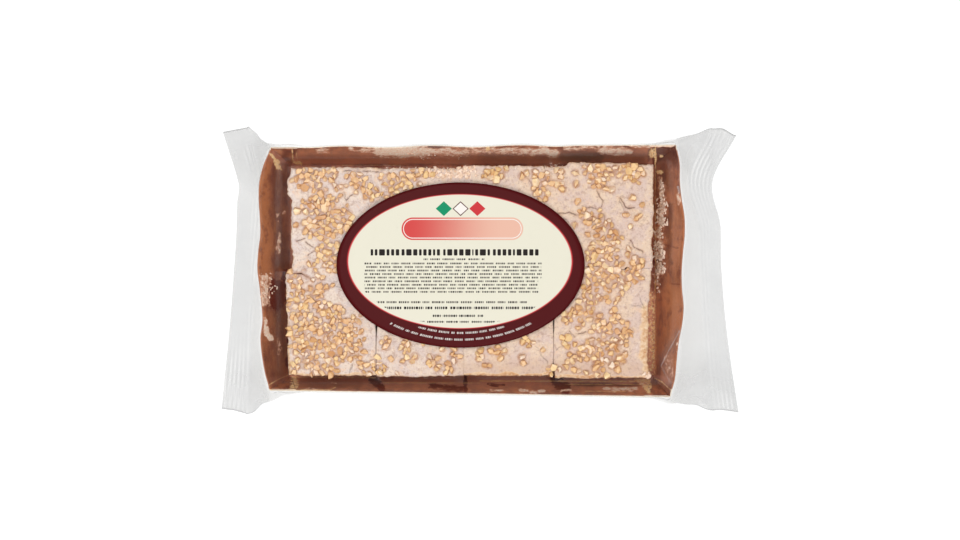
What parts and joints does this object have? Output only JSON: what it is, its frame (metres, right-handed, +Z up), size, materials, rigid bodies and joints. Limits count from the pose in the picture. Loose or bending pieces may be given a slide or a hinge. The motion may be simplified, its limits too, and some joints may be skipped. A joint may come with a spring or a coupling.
{
  "type": "mille feuille pack",
  "caption": "Clear flow-wrapped board tray of cut mille feuille topped with icing sugar and chopped nuts, with an oval paper label.",
  "frame": {"origin": "middle of the pack's footprint, on the surface that it lies on", "axes": "+X along the pack, +Y across it to its back, +Z up through the label"},
  "size_m": [0.2968, 0.164, 0.032],
  "materials": {
    "film": "clear gloss film",
    "label": "coated paper print",
    "tray_board": "glossy brown inside, cream outside and cut edges",
    "pastry": "baked leaves of puff pastry",
    "cream": "cocoa cream",
    "icing_sugar": "thin cracked sugar crust",
    "nuts": "toasted chopped nuts"
  },
  "bodies": {
    "root": {"film_pack": "film", "label": "label"}
  },
  "joints": []
}
